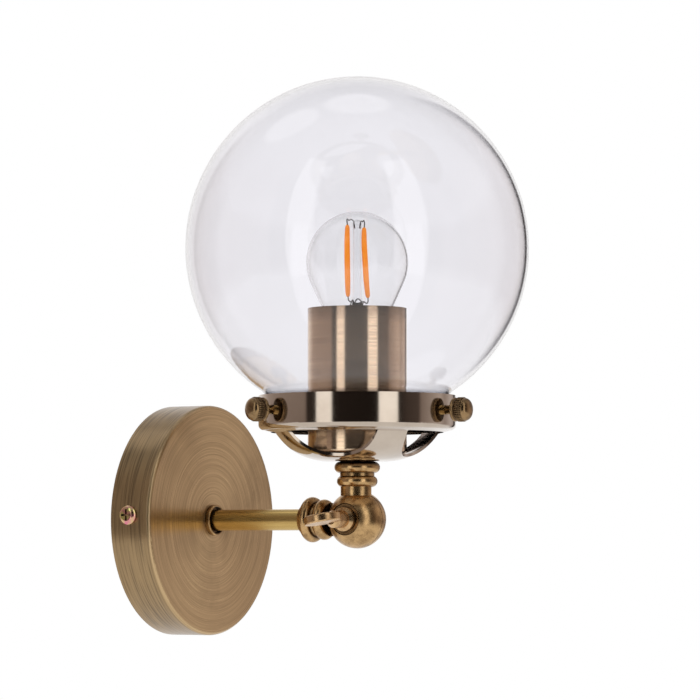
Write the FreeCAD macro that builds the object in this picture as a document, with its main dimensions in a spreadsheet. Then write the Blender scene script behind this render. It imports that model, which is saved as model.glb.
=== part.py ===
import FreeCAD
import Part
import Sketcher
import math
import os
import re

# Globe wall sconce: a spun brass wall plate, a short arm, a split-ball swivel with a
# thumb key, a pierced gallery that clamps a clear globe with three thumbscrews, and a
# socket cup with a small clear bulb.
#
# Frame: the origin is the centre of the wall plate's rear rim, on the wall. +Z is up,
# the wall is the plane Y = 0 and the lamp stands out towards -Y. The swivel's ball is
# centred on the arm's axis, and the lamp's own axis is the vertical through the ball.

# Driving dimensions in millimetres and degrees: alias, value, what it is.
# A height is measured from the ball's centre along the lamp's axis.
DIMENSIONS = [
    ("arm_reach", 94.6, "wall to the lamp's axis"),
    ("body_gap", 0.3, "clearance between pieces that move past each other"),
    ("slip_gap", 0.1, "radial clearance of a bolt or tube in its hole"),
    ("thread_gap", 0.05, "radial clearance of a thread drawn as a plain cylinder"),
    ("plate_radius", 51.1, "wall plate, outside"),
    ("plate_depth", 20.0, "wall plate, wall to front face"),
    ("plate_wall", 1.0, "wall plate, sheet thickness"),
    ("plate_edge_radius", 1.6, "wall plate, outside radius of the front edge"),
    ("screw_hole_gap", 0.25, "wall plate, radial clearance of the side screws"),
    ("strap_width", 20.0, "bracket"),
    ("strap_thickness", 1.5, "bracket"),
    ("strap_end_gap", 1.5, "bracket, from an ear to the plate's inside"),
    ("strap_slot_spacing", 76.0, "bracket, between the slots' centres"),
    ("strap_slot_length", 11.0, "bracket, end to end"),
    ("strap_slot_radius", 2.3, "bracket, half the slot's width"),
    ("strap_eye_radius", 6.0, "bracket, cable hole in the middle"),
    ("ear_width", 13.0, "bracket ear"),
    ("ear_length", 15.0, "bracket ear, from the wall"),
    ("side_screw_depth", 9.4, "side screws, from the wall"),
    ("side_screw_rise", 1.9, "side screws, above the arm's axis"),
    ("side_screw_radius", 1.95, "side screw shank"),
    ("side_screw_length", 7.5, "side screw shank"),
    ("side_head_radius", 4.2, "side screw head"),
    ("side_head_height", 2.1, "side screw head"),
    ("earth_offset", 20.0, "earth screw, from the middle of the strap"),
    ("earth_screw_radius", 1.95, "earth screw shank"),
    ("earth_screw_length", 2.5, "earth screw shank in front of the strap"),
    ("earth_head_radius", 3.9, "earth screw head and its washer"),
    ("earth_head_height", 2.2, "earth screw head"),
    ("screw_side_share", 0.45, "screw heads, upright side, as a share of the height"),
    ("screw_top_share", 0.62, "screw heads, flat top, as a share of the radius"),
    ("screw_round_share", 1.2, "screw heads, radius of the rounded edge, as a share of the height"),
    ("cross_share", 0.6, "screw heads, length of the cross slot, as a share of the width"),
    ("cross_width", 0.9, "screw heads, width of the cross slot"),
    ("block_offset", 20.0, "terminal block, from the middle of the strap"),
    ("block_length", 16.0, "terminal block, along Z"),
    ("block_width", 17.0, "terminal block, along X"),
    ("block_height", 10.0, "terminal block, off the strap"),
    ("block_bore_radius", 2.0, "terminal block, wire entries"),
    ("block_bore_share", 0.4, "terminal block, height of the wire bores, as a share of its height"),
    ("block_well_share", 0.55, "terminal block, foot of the screws, as a share of its height"),
    ("block_screw_share", 0.35, "terminal block, length of the screws, as a share of its height"),
    ("block_pitch", 8.4, "terminal block, between the two ways"),
    ("block_screw_radius", 1.6, "terminal block, clamping screws"),
    ("tube_radius", 4.65, "arm tube, outside"),
    ("tube_bore", 3.3, "arm tube, wire passage"),
    ("tube_tail", 1.5, "arm tube, beyond the nut"),
    ("ferrule_radius", 6.9, "ferrule, outside"),
    ("ferrule_lip", 1.1, "ferrule, thickness of its rim"),
    ("ferrule_fullness", 0.51, "ferrule, radius of its round rim, as a share of the lip"),
    ("ferrule_length", 2.3, "ferrule, off the plate"),
    ("ferrule_floor", 0.8, "ferrule, floor against the plate"),
    ("lock_washer_radius", 8.2, "toothed washer behind the plate"),
    ("lock_washer_thickness", 1.0, "toothed washer"),
    ("lock_washer_teeth", 12, "toothed washer"),
    ("lock_washer_notch", 1.07, "toothed washer, radius of the gaps between teeth"),
    ("nut_flats", 14.0, "tube nuts, across the flats"),
    ("nut_height", 4.0, "tube nuts"),
    ("nut_foot_share", 0.62, "tube nuts, bevelling cone at the foot, as a share of the flats"),
    ("nut_top_share", 0.5, "tube nuts, bevelling cone at the top, as a share of the flats"),
    ("ball_radius", 12.6, "swivel ball"),
    ("neck_rise", 1.5, "swivel neck, from the ball to the first bead"),
    ("waist_height", 1.1, "swivel neck, groove between the beads, along the axis"),
    ("neck_land", 0.1, "swivel neck, land above the second bead"),
    ("tube_grip", 5.0, "arm tube, length held in the swivel's neck"),
    ("cone_length", 1.9, "arm neck's collar, beyond the beads"),
    ("recess_depth", 3.6, "round recess for the key, from the ball's own surface"),
    ("stud_skin", 2.2, "metal left beyond the key's stud"),
    ("neck_radius", 7.25, "swivel neck between the ball and the first bead"),
    ("waist_radius", 7.5, "swivel neck, groove between the beads"),
    ("waist_start", 0.4, "swivel neck, start of the full neck inside the first bead"),
    ("small_bead_radius", 8.85, "first bead, outside"),
    ("small_bead_round", 2.5, "first bead, radius of its round edge"),
    ("large_bead_radius", 9.95, "second bead, outside"),
    ("large_bead_round", 2.45, "second bead, radius of its round edge"),
    ("cone_end_radius", 6.3, "arm neck's collar, at its end"),
    ("cone_inset", 1.6, "arm neck's collar, from the bead's outside to its foot"),
    ("face_recess_radius", 7.0, "round recess for the key in the ball's side"),
    ("spring_washer_radius", 6.7, "washer under the key"),
    ("spring_washer_thickness", 1.2, "washer under the key"),
    ("stud_radius", 2.9, "key's threaded stud"),
    ("friction_radius", 8.0, "friction washer between the half balls"),
    ("friction_thickness", 1.1, "friction washer"),
    ("hub_radius", 3.8, "key hub"),
    ("hub_length", 10.6, "key hub, up to the paddle"),
    ("hub_collar_radius", 5.2, "key hub's collar"),
    ("hub_collar_height", 1.6, "key hub's collar"),
    ("hub_shoulder", 1.0, "key hub, bevels above the collar and below the paddle"),
    ("hub_taper", 1.4, "key hub, how much it narrows into the paddle"),
    ("hub_nose", 1.5, "key hub, length inside the paddle"),
    ("paddle_radius", 8.0, "key paddle"),
    ("paddle_thickness", 3.6, "key paddle"),
    ("paddle_edge", 0.7, "key paddle, radius of its edges"),
    ("paddle_tilt", 11.0, "key paddle, front end up"),
    ("ring_radius", 43.07, "gallery ring, outside"),
    ("ring_rise", 13.5, "gallery ring, from the seat on the neck to its underside"),
    ("ring_height", 15.1, "gallery ring"),
    ("ring_corner", 2.6, "gallery ring, radius of its bottom edge"),
    ("gallery_wall", 1.2, "gallery, sheet thickness"),
    ("flange_width", 6.57, "gallery flange, from the ring's outside to the bowl"),
    ("flange_drop", 1.2, "gallery flange, fall from ring to bowl"),
    ("seat_radius", 12.0, "gallery bowl, flat seat"),
    ("window_angle", 10.5, "first gallery window, from +X"),
    ("window_count", 4, "gallery windows"),
    ("window_bite", 1.1, "gallery window, reach into the flange"),
    ("window_foot_radius", 22.4, "gallery window, its foot, from the axis"),
    ("window_round", 30.0, "gallery window, radius of its round foot"),
    ("thumb_angle", 33.0, "first thumbscrew, from +X"),
    ("thumb_count", 3, "thumbscrews"),
    ("thumb_rise", 8.2, "thumbscrews, above the ring's underside"),
    ("thumb_standoff", 3.65, "thumbscrew head, off the ring"),
    ("thumb_shank_radius", 1.95, "thumbscrew shank"),
    ("thumb_head_radius", 5.3, "thumbscrew head"),
    ("thumb_head_length", 6.1, "thumbscrew head"),
    ("thumb_bead_length", 1.5, "thumbscrew head, bead at its back"),
    ("thumb_groove_depth", 0.6, "thumbscrew head, groove behind the knurl"),
    ("thumb_edge", 0.5, "thumbscrew head, bevel of its edges"),
    ("thumb_dome", 2.3, "thumbscrew head, rise of its domed end"),
    ("cup_radius", 21.6, "socket cup, outside"),
    ("cup_wall", 0.9, "socket cup, sheet thickness"),
    ("cup_height", 63.7, "socket cup"),
    ("cup_edge_radius", 2.0, "socket cup, radius of its bottom edge"),
    ("nipple_radius", 4.9, "threaded nipple, outside"),
    ("nipple_bore", 3.5, "threaded nipple, wire passage"),
    ("nipple_tail", 5.0, "threaded nipple, beyond the nut, in the lampholder"),
    ("spacer_radius", 9.0, "spacer under the cup"),
    ("spacer_thickness", 1.8, "spacer under the cup"),
    ("flat_washer_radius", 9.5, "washer in the cup"),
    ("flat_washer_thickness", 1.0, "washer in the cup"),
    ("holder_gap", 1.3, "lampholder body, clearance in the cup"),
    ("holder_sink", 7.9, "lampholder body, below the cup's rim"),
    ("holder_foot_bevel", 3.0, "lampholder body, bevel of its foot"),
    ("holder_rim_bevel", 1.0, "lampholder body, bevel of its rim"),
    ("shell_wall", 0.5, "screw shell"),
    ("shell_sink", 3.0, "screw shell, below the lampholder's rim"),
    ("spring_width", 6.0, "centre contact spring"),
    ("spring_thickness", 0.6, "centre contact spring"),
    ("spring_rise", 7.4, "bulb's tip above the lampholder's floor"),
    ("spring_reach", 7.0, "centre contact spring, from the axis to its foot"),
    ("spring_toe_share", 0.6, "centre contact spring, its free end, as a share of its reach"),
    ("bulb_radius", 22.3, "bulb glass, outside"),
    ("bulb_rise", 27.2, "bulb glass, centre above the cap"),
    ("bulb_gap", 0.6, "bulb glass, clearance inside the cap"),
    ("bulb_wall", 0.8, "bulb glass"),
    ("cap_radius", 13.1, "bulb cap"),
    ("cap_wall", 0.4, "bulb cap"),
    ("cap_gap", 0.9, "bulb cap, clearance in the screw shell"),
    ("cap_proud", 0.9, "bulb cap, above the lampholder's rim"),
    ("cap_length", 22.0, "bulb cap's threaded part"),
    ("tip_radius", 4.8, "bulb, centre contact"),
    ("tip_height", 1.3, "bulb, centre contact"),
    ("insulator_rim", 1.0, "bulb, black glass ring showing round the tip"),
    ("insulator_height", 3.2, "bulb, black insulator cone"),
    ("bulb_skirt", 3.0, "bulb glass, length inside the cap"),
    ("stem_radius", 1.4, "bulb, glass stem"),
    ("stem_flare_height", 9.0, "bulb, height of the stem's flared foot"),
    ("stem_rim", 1.0, "bulb, straight edge of the stem's flared foot"),
    ("stem_rise", 15.9, "bulb, top of the stem above the glass's centre"),
    ("filament_radius", 1.0, "bulb filament"),
    ("filament_length", 31.0, "bulb filament"),
    ("filament_drop", 15.1, "bulb filament, foot below the glass's centre"),
    ("filament_offset", 4.0, "bulb filament's foot, from the axis"),
    ("filament_lean", 1.5, "bulb filaments, how far the tops lean to one side"),
    ("filament_bearing", -60.0, "bulb filaments, bearing of the right-hand one"),
    ("wire_radius", 0.3, "bulb, support wires"),
    ("globe_radius", 75.0, "globe, outside"),
    ("globe_wall", 2.2, "globe"),
    ("fitter_gap", 2.07, "globe neck, clearance inside the ring"),
    ("globe_neck_rise", 0.83, "globe neck, length above the ring"),
]

# Sizes and places that follow from those above. One may use another.
DERIVED = {
    "plate_inside": "plate_depth - plate_wall",
    "strap_half_length": "plate_radius - plate_wall - strap_end_gap - strap_thickness",
    "tube_back": "plate_inside - lock_washer_thickness - nut_height - tube_tail",
    "small_bead_height": "ball_radius + neck_rise + small_bead_round",
    "large_bead_height": "small_bead_height + small_bead_round + waist_height + large_bead_round",
    "neck_top": "large_bead_height + large_bead_round + neck_land",
    "nipple_start": "small_bead_height",
    "cone_top": "neck_top + cone_length",
    "tube_seat": "cone_top - tube_grip",
    "face_recess_floor": "ball_radius - recess_depth",
    "stud_end": "ball_radius - stud_skin",
    "key_seat": "face_recess_floor + spring_washer_thickness + body_gap",
    "hub_end": "key_seat + hub_length",
    "paddle_middle": "hub_end + paddle_radius",
    "ring_bottom": "neck_top + ring_rise",
    "ring_top": "ring_bottom + ring_height",
    "flange_radius": "ring_radius - flange_width",
    "bowl_run": "flange_radius - seat_radius",
    "bowl_height": "ring_rise - flange_drop",
    "bowl_round": "(bowl_run ^ 2 + bowl_height ^ 2) / (2 * bowl_height)",
    "bowl_share": "1 - gallery_wall / bowl_round",
    "window_top_radius": "flange_radius + window_bite",
    "thumb_height": "ring_bottom + thumb_rise",
    "thumb_head_start": "ring_radius + thumb_standoff",
    "thumb_tip": "globe_neck_radius + body_gap",
    "cup_bottom": "neck_top + gallery_wall + spacer_thickness",
    "cup_floor": "cup_bottom + cup_wall",
    "cup_top": "cup_bottom + cup_height",
    "holder_seat": "cup_floor + flat_washer_thickness + nut_height",
    "holder_radius": "cup_radius - cup_wall - holder_gap",
    "holder_top": "cup_top - holder_sink",
    "holder_floor": "bulb_tip - spring_rise",
    "shell_radius": "cap_radius + cap_gap + shell_wall",
    "holder_bore": "shell_radius + 2 * slip_gap",
    "shell_top": "holder_top - shell_sink",
    "bulb_base": "holder_top + cap_proud",
    "bulb_tip": "bulb_base - cap_length - insulator_height - tip_height",
    "bulb_height": "bulb_base + bulb_rise",
    "bulb_foot": "bulb_base - bulb_skirt",
    "bulb_foot_radius": "cap_radius - cap_wall - bulb_gap",
    "bulb_neck_angle": "asin(bulb_radius / sqrt(bulb_foot_radius ^ 2 + bulb_rise ^ 2))"
                       " - atan(bulb_foot_radius / bulb_rise)",
    "bulb_inside": "bulb_radius - bulb_wall",
    "stem_foot_radius": "bulb_foot_radius - bulb_wall / cos(bulb_neck_angle)",
    "stem_top": "bulb_height + stem_rise",
    "filament_foot": "bulb_height - filament_drop",
    "globe_neck_radius": "ring_radius - gallery_wall - fitter_gap",
    "globe_neck_top": "ring_top + globe_neck_rise",
    "globe_height": "globe_neck_top + sqrt(globe_radius ^ 2 - globe_neck_radius ^ 2)",
    "globe_foot": "ring_bottom + gallery_wall + body_gap",
    "globe_inside": "globe_radius - globe_wall",
    "globe_bore": "globe_neck_radius - globe_wall",
}

UPRIGHT = FreeCAD.Rotation()
TO_ROOM = FreeCAD.Rotation(FreeCAD.Vector(1, 0, 0), 90)
TO_WALL = FreeCAD.Rotation(FreeCAD.Vector(1, 0, 0), -90)
TO_LEFT = FreeCAD.Rotation(FreeCAD.Vector(0, 1, 0), -90)
TO_RIGHT = FreeCAD.Rotation(FreeCAD.Vector(0, 1, 0), 90)
LAMP_AXIS = ("0", "-arm_reach", "0")
ALIASES = {alias for alias, _, _ in DIMENSIONS}

doc = FreeCAD.newDocument("GlobeWallSconce")
sheet = doc.addObject("Spreadsheet::Sheet", "Dims")
for row, (alias, value, note) in enumerate(DIMENSIONS, start=1):
    sheet.set(f"A{row}", note)
    sheet.set(f"B{row}", str(value))
    sheet.setAlias(f"B{row}", alias)
doc.recompute()


def linked(text):
    """An expression on the sheet, from one that names driving and derived dimensions alone."""
    def meaning(word):
        name = word[0]
        if name in DERIVED:
            return "(" + linked(DERIVED[name]) + ")"
        return "Dims." + name if name in ALIASES else name
    return re.sub(r"[a-z_]+", meaning, text)


def number(text):
    """What an expression comes to now."""
    result = sheet.evalExpression(linked(text))
    return float(getattr(result, "Value", result))


def bind(obj, **properties):
    for name, text in properties.items():
        obj.setExpression(name, linked(text))
    return obj


def place(obj, at=("0", "0", "0"), turn=UPRIGHT):
    obj.Placement = FreeCAD.Placement(FreeCAD.Vector(), turn)
    for letter, text in zip("xyz", at):
        obj.setExpression(f"Placement.Base.{letter}", linked(text))
    return obj


def cylinder(name, radius, height, at=("0", "0", "0"), turn=UPRIGHT):
    return place(bind(doc.addObject("Part::Cylinder", name), Radius=radius, Height=height), at, turn)


def cone(name, foot, top, height, at=("0", "0", "0"), turn=UPRIGHT):
    solid = doc.addObject("Part::Cone", name)
    return place(bind(solid, Radius1=foot, Radius2=top, Height=height), at, turn)


def block(name, sizes, at, turn=UPRIGHT):
    solid = doc.addObject("Part::Box", name)
    return place(bind(solid, Length=sizes[0], Width=sizes[1], Height=sizes[2]), at, turn)


def sphere(name, radius, at=("0", "0", "0")):
    return place(bind(doc.addObject("Part::Sphere", name), Radius=radius), at)


def torus(name, radius, round_radius, at):
    solid = doc.addObject("Part::Torus", name)
    return place(bind(solid, Radius1=radius, Radius2=round_radius), at)


def joined(name, *solids):
    fusion = doc.addObject("Part::MultiFuse", name)
    fusion.Shapes = list(solids)
    fusion.Refine = True
    return fusion


def cut(name, base, *tools):
    result = doc.addObject("Part::Cut", name)
    result.Base = base
    result.Tool = tools[0] if len(tools) == 1 else joined(name + "_cuts", *tools)
    result.Refine = True
    return result


def common(name, *solids):
    result = doc.addObject("Part::MultiCommon", name)
    result.Shapes = list(solids)
    return result


def group(name, *solids):
    compound = doc.addObject("Part::Compound", name)
    compound.Links = list(solids)
    return compound


def arc_between(start, end, radius):
    """The short arc from start to end: it runs counter-clockwise if radius is positive."""
    if radius < 0:
        return arc_between(end, start, -radius)
    middle = (start + end) * 0.5
    across = end - start
    rise = math.sqrt(max(radius * radius - across.Length ** 2 / 4, 0))
    centre = middle + FreeCAD.Vector(-across.y, across.x, 0).normalize() * rise
    angles = [math.atan2(point.y - centre.y, point.x - centre.x) for point in (start, end)]
    return Part.ArcOfCircle(Part.Circle(centre, FreeCAD.Vector(0, 0, 1), radius), *angles)


def outlined(name, profile):
    """A body with a sketch of a closed profile on its XZ plane, from (X, Z) corners.
    A third entry makes the stretch to the next corner an arc of that radius."""
    body = doc.addObject("PartDesign::Body", name)
    plane = [item for item in body.Origin.OriginFeatures if item.Role == "XZ_Plane"][0]
    sketch = body.newObject("Sketcher::SketchObject", name + "_profile")
    sketch.AttachmentSupport = (plane, "")
    sketch.MapMode = "FlatFace"
    corners = [FreeCAD.Vector(number(corner[0]), number(corner[1]), 0) for corner in profile]
    ends = []
    for index, corner in enumerate(profile):
        start = corners[index]
        end = corners[(index + 1) % len(corners)]
        if len(corner) == 3:
            radius = number(corner[2])
            edge = sketch.addGeometry(arc_between(start, end, radius))
            first, last = (1, 2) if radius > 0 else (2, 1)
            rule = sketch.addConstraint(Sketcher.Constraint("Radius", edge, abs(radius)))
            sketch.setExpression(f"Constraints[{rule}]", "abs(" + linked(corner[2]) + ")")
        else:
            edge = sketch.addGeometry(Part.LineSegment(start, end))
            first, last = 1, 2
        ends.append((edge, first, last))
    for index, corner in enumerate(profile):
        edge, first, _ = ends[index]
        before, _, last = ends[index - 1]
        sketch.addConstraint(Sketcher.Constraint("Coincident", before, last, edge, first))
        for kind, text, value in (("DistanceX", corner[0], corners[index].x),
                                  ("DistanceY", corner[1], corners[index].y)):
            rule = sketch.addConstraint(Sketcher.Constraint(kind, -1, 1, edge, first, value))
            sketch.setExpression(f"Constraints[{rule}]", linked(text))
    return body, sketch


def turned(name, profile):
    """A body turned about its own Z axis from a closed profile of (radius, height) corners."""
    body, sketch = outlined(name, profile)
    turn = body.newObject("PartDesign::Revolution", name + "_turn")
    turn.Profile = sketch
    turn.ReferenceAxis = (sketch, ["V_Axis"])
    turn.Angle = 360
    return body


def extruded(name, profile, width):
    """A body padded both ways from its XZ plane to a full width."""
    body, sketch = outlined(name, profile)
    pad = body.newObject("PartDesign::Pad", name + "_pad")
    pad.Profile = sketch
    pad.Midplane = True
    bind(pad, Length=width)
    return body


def rod(name, radius, start, end):
    """A round rod between two points, each given by three expressions."""
    first = FreeCAD.Vector(*[number(text) for text in start])
    run = FreeCAD.Vector(*[number(text) for text in end]) - first
    solid = bind(doc.addObject("Part::Cylinder", name), Radius=radius)
    solid.Height = run.Length
    solid.Placement = FreeCAD.Placement(first, FreeCAD.Rotation(FreeCAD.Vector(0, 0, 1), run))
    return solid


def around(start, count):
    """Bearings of equal steps round the lamp's axis, in degrees."""
    return [number(start) + index * 360 / number(count) for index in range(round(number(count)))]


def swing(obj, bearing, at=("0", "0", "0"), lay=UPRIGHT):
    """Lay an object down, then swing it about the vertical to a bearing in degrees."""
    return place(obj, at, FreeCAD.Rotation(FreeCAD.Vector(0, 0, 1), bearing).multiply(lay))


def hex_nut(name, at, turn):
    prism = doc.addObject("Part::Prism", name + "_blank")
    prism.Polygon = 6
    bind(prism, Circumradius="nut_flats / sqrt(3)", Height="nut_height")
    round_off = cone(name + "_chamfer", "nut_flats * nut_foot_share", "nut_flats * nut_top_share",
                     "nut_height")
    bore = cylinder(name + "_bore", "nipple_radius + thread_gap", "nut_height")
    return place(cut(name, common(name + "_body", prism, round_off), bore), at, turn)


# Wall bracket: a steel strap on the wall, with two slots, a cable hole and two bent ears.
def make_bracket():
    strap = block("strap", ("2 * (strap_half_length + strap_thickness)", "strap_thickness", "strap_width"),
                  ("-strap_half_length - strap_thickness", "-strap_thickness", "-strap_width / 2"))
    solids = [strap]
    through = "3 * strap_thickness"
    cuts = [cylinder("cable_hole", "strap_eye_radius", through, ("0", "strap_thickness", "0"), TO_ROOM)]
    for side, sign, turn in (("left", "-", TO_LEFT), ("right", "+", TO_RIGHT)):
        solids.append(block(side + "_ear", ("strap_thickness", "ear_length", "ear_width"),
                            ("-strap_half_length - strap_thickness" if sign == "-" else "strap_half_length",
                             "-ear_length", "-ear_width / 2")))
        cuts.append(cylinder(side + "_tapped_hole", "side_screw_radius + thread_gap", "4 * strap_thickness",
                             (f"{sign}(strap_half_length - strap_thickness)", "-side_screw_depth",
                              "side_screw_rise"), turn))
        middle = f"{sign}strap_slot_spacing / 2"
        straight = "(strap_slot_length / 2 - strap_slot_radius)"
        for end in ("-", "+"):
            cuts.append(cylinder(f"{side}_slot_end", "strap_slot_radius", "3 * strap_thickness",
                                 (f"{middle} {end} {straight}", "strap_thickness", "0"), TO_ROOM))
        cuts.append(block(f"{side}_slot_middle", (f"2 * {straight}", through, "2 * strap_slot_radius"),
                          (f"{middle} - {straight}", "-2 * strap_thickness", "-strap_slot_radius")))
    cuts.append(cylinder("earth_tapping", "earth_screw_radius + thread_gap", "3 * strap_thickness",
                         ("-earth_offset", "strap_thickness", "0"), TO_ROOM))
    return cut("wall_bracket", joined("bent_strap", *solids), *cuts)


# Wall plate: a drawn round shell, open at the wall, with holes for the tube and side screws.
def make_plate():
    shell = turned("plate_shell", [
        ("plate_radius", "0"),
        ("plate_radius", "plate_depth - plate_edge_radius", "plate_edge_radius"),
        ("plate_radius - plate_edge_radius", "plate_depth"),
        ("tube_radius + slip_gap", "plate_depth"),
        ("tube_radius + slip_gap", "plate_depth - plate_wall"),
        ("plate_radius - plate_edge_radius", "plate_depth - plate_wall", "-(plate_edge_radius - plate_wall)"),
        ("plate_radius - plate_wall", "plate_depth - plate_edge_radius"),
        ("plate_radius - plate_wall", "0"),
    ])
    place(shell, turn=TO_ROOM)
    holes = []
    for side, sign, turn in (("left", "-", TO_LEFT), ("right", "+", TO_RIGHT)):
        at = (f"{sign}(plate_radius - 3 * plate_wall)", "-side_screw_depth", "side_screw_rise")
        holes.append(cylinder(side + "_screw_hole", "side_screw_radius + screw_hole_gap", "6 * plate_wall",
                              at, turn))
    return cut("wall_plate", shell, *holes)


def pan_screw(name, shank_radius, shank_length, head_radius, head_height):
    """A screw along Z: its head's underside is at the origin and its shank runs down."""
    head = turned(name + "_head", [
        ("0", "0"),
        (head_radius, "0"),
        (head_radius, f"{head_height} * screw_side_share", f"{head_height} * screw_round_share"),
        (f"{head_radius} * screw_top_share", head_height),
        ("0", head_height),
    ])
    reach = f"({head_radius} * cross_share)"
    half = "cross_width / 2"
    floor = f"{head_height} / 2"
    slots = [
        block(name + "_slot", (f"2 * {reach}", "cross_width", head_height),
              (f"-{reach}", f"-{half}", floor)),
        block(name + "_cross", ("cross_width", f"2 * {reach}", head_height),
              (f"-{half}", f"-{reach}", floor)),
    ]
    shank = cylinder(name + "_shank", shank_radius, f"{shank_length} + {head_height} / 4",
                     ("0", "0", f"-({shank_length})"))
    return cut(name, joined(name + "_solid", head, shank), *slots)


def make_side_screws():
    screws = []
    for side, sign, turn in (("left", "-", TO_LEFT), ("right", "+", TO_RIGHT)):
        screw = pan_screw(side + "_side_screw", "side_screw_radius", "side_screw_length",
                          "side_head_radius", "side_head_height")
        at = (f"{sign}(plate_radius + slip_gap)", "-side_screw_depth", "side_screw_rise")
        screws.append(place(screw, at, turn))
    return group("side_screws", *screws)


def make_earth_screw():
    screw = pan_screw("earth_screw", "earth_screw_radius", "earth_screw_length + strap_thickness",
                      "earth_head_radius", "earth_head_height")
    return place(screw, ("-earth_offset", "-strap_thickness - earth_screw_length", "0"), TO_ROOM)


# Terminal block: two ways, each with a wire bore right through and two clamping screws.
def make_terminal_block():
    body = block("block_body", ("block_width", "block_height", "block_length"),
                 ("block_offset - block_width / 2", "-strap_thickness - block_height", "-block_length / 2"))
    cuts = []
    screws = []
    for way in ("-", "+"):
        across = f"block_offset {way} block_pitch / 2"
        cuts.append(cylinder("wire_entry", "block_bore_radius", "block_length",
                             (across, "-strap_thickness - block_height * block_bore_share",
                              "-block_length / 2")))
        for end in ("-", "+"):
            at = (across, "-strap_thickness - block_height * block_well_share", f"{end}block_length / 4")
            cuts.append(cylinder("screw_well", "block_screw_radius + slip_gap", "block_height", at, TO_ROOM))
            screws.append(cylinder("clamp_screw", "block_screw_radius",
                                   "block_height * block_screw_share", at, TO_ROOM))
    return cut("terminal_block", body, *cuts), group("terminal_screws", *screws)


# Arm: a tube through the wall plate, held by a toothed washer and a nut, with a ferrule in front.
def make_arm():
    length = "arm_reach - tube_seat - tube_back"
    tube = cut("arm_tube", cylinder("arm_tube_outside", "tube_radius", length),
               cylinder("arm_tube_bore", "tube_bore", length))
    place(tube, ("0", "-tube_back", "0"), TO_ROOM)
    ferrule = turned("arm_ferrule", [
        ("tube_radius + slip_gap", "0"),
        ("ferrule_radius", "0"),
        ("ferrule_radius", "ferrule_length - ferrule_lip / 2", "ferrule_lip * ferrule_fullness"),
        ("ferrule_radius - ferrule_lip", "ferrule_length - ferrule_lip / 2"),
        ("ferrule_radius - ferrule_lip", "ferrule_floor"),
        ("tube_radius + slip_gap", "ferrule_floor"),
    ])
    place(ferrule, ("0", "-plate_depth", "0"), TO_ROOM)
    washer = toothed_washer()
    nut = hex_nut("arm_nut", ("0", "-plate_inside + lock_washer_thickness", "0"), TO_WALL)
    return [tube, ferrule, washer, nut]


def toothed_washer():
    disc = cylinder("lock_washer_disc", "lock_washer_radius", "lock_washer_thickness")
    bore = cylinder("lock_washer_bore", "tube_radius + slip_gap", "lock_washer_thickness")
    notches = []
    for index in range(int(number("lock_washer_teeth"))):
        bearing = math.radians(index * 360 / number("lock_washer_teeth"))
        along_x = f"lock_washer_radius * {math.cos(bearing):.6f}"
        along_y = f"lock_washer_radius * {math.sin(bearing):.6f}"
        at = (along_x, along_y, "0")
        notches.append(cylinder("washer_notch", "lock_washer_notch", "lock_washer_thickness", at))
    washer = cut("arm_lock_washer", disc, bore, *notches)
    return place(washer, ("0", "-plate_inside", "0"), TO_WALL)


# Swivel: each half has a half ball, half a neck and two whole beads, all on the Z axis here.
def half_knuckle(name, sign, end_height):
    far = "(2 * ball_radius)"
    half_space = block(name + "_side", (far, f"2 * {far}", f"2 * {far}"),
                       ("body_gap / 2" if sign == "+" else f"-{far} - body_gap / 2", f"-{far}", f"-{far}"))
    neck_start = "(small_bead_height - small_bead_round)"
    round_part = joined(name + "_ball_and_neck", sphere(name + "_ball", "ball_radius"),
                        cylinder(name + "_neck", "neck_radius", f"{neck_start} + waist_start + slip_gap"))
    half = common(name + "_half", round_part, half_space)
    solids = [
        half,
        cylinder(name + "_waist", "waist_radius", f"{end_height} - {neck_start} - waist_start",
                 ("0", "0", f"{neck_start} + waist_start")),
        torus(name + "_small_bead", "small_bead_radius - small_bead_round", "small_bead_round",
              ("0", "0", "small_bead_height")),
        torus(name + "_large_bead", "large_bead_radius - large_bead_round", "large_bead_round",
              ("0", "0", "large_bead_height")),
    ]
    return solids


def make_neck_half():
    solids = half_knuckle("upright", "-", "neck_top")
    cuts = [
        cylinder("key_recess", "face_recess_radius", "ball_radius",
                 ("-face_recess_floor", "0", "0"), TO_LEFT),
        cylinder("stud_hole", "stud_radius + slip_gap", "2 * ball_radius",
                 ("ball_radius", "0", "0"), TO_LEFT),
        cylinder("nipple_hole", "nipple_radius + thread_gap", "neck_top", ("0", "0", "nipple_start")),
    ]
    return place(cut("neck_half", joined("upright_solid", *solids), *cuts), LAMP_AXIS)


def make_arm_half():
    solids = half_knuckle("level", "+", "large_bead_height")
    solids.append(cone("level_cone", "large_bead_radius - cone_inset", "cone_end_radius",
                       "cone_top - large_bead_height", ("0", "0", "large_bead_height")))
    socket = cylinder("tube_socket", "tube_radius + thread_gap", "cone_top", ("0", "0", "tube_seat"))
    stud_hole = cylinder("stud_tapping", "stud_radius + thread_gap", "stud_end + slip_gap", turn=TO_RIGHT)
    washer_seat = cylinder("friction_seat", "friction_radius + slip_gap", "friction_thickness", turn=TO_RIGHT)
    half = cut("arm_half", joined("level_solid", *solids), socket, stud_hole, washer_seat)
    return place(half, LAMP_AXIS, TO_WALL)


def make_swivel_small_parts():
    friction = cut("friction_washer", cylinder("friction_disc", "friction_radius", "friction_thickness"),
               cylinder("friction_bore", "stud_radius + body_gap", "friction_thickness"))
    place(friction, LAMP_AXIS, TO_RIGHT)
    washer = cut("key_washer", cylinder("key_washer_disc", "spring_washer_radius", "spring_washer_thickness"),
                 cylinder("key_washer_bore", "stud_radius + body_gap", "spring_washer_thickness"))
    place(washer, ("-face_recess_floor", "-arm_reach", "0"), TO_LEFT)
    return [friction, washer]


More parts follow.
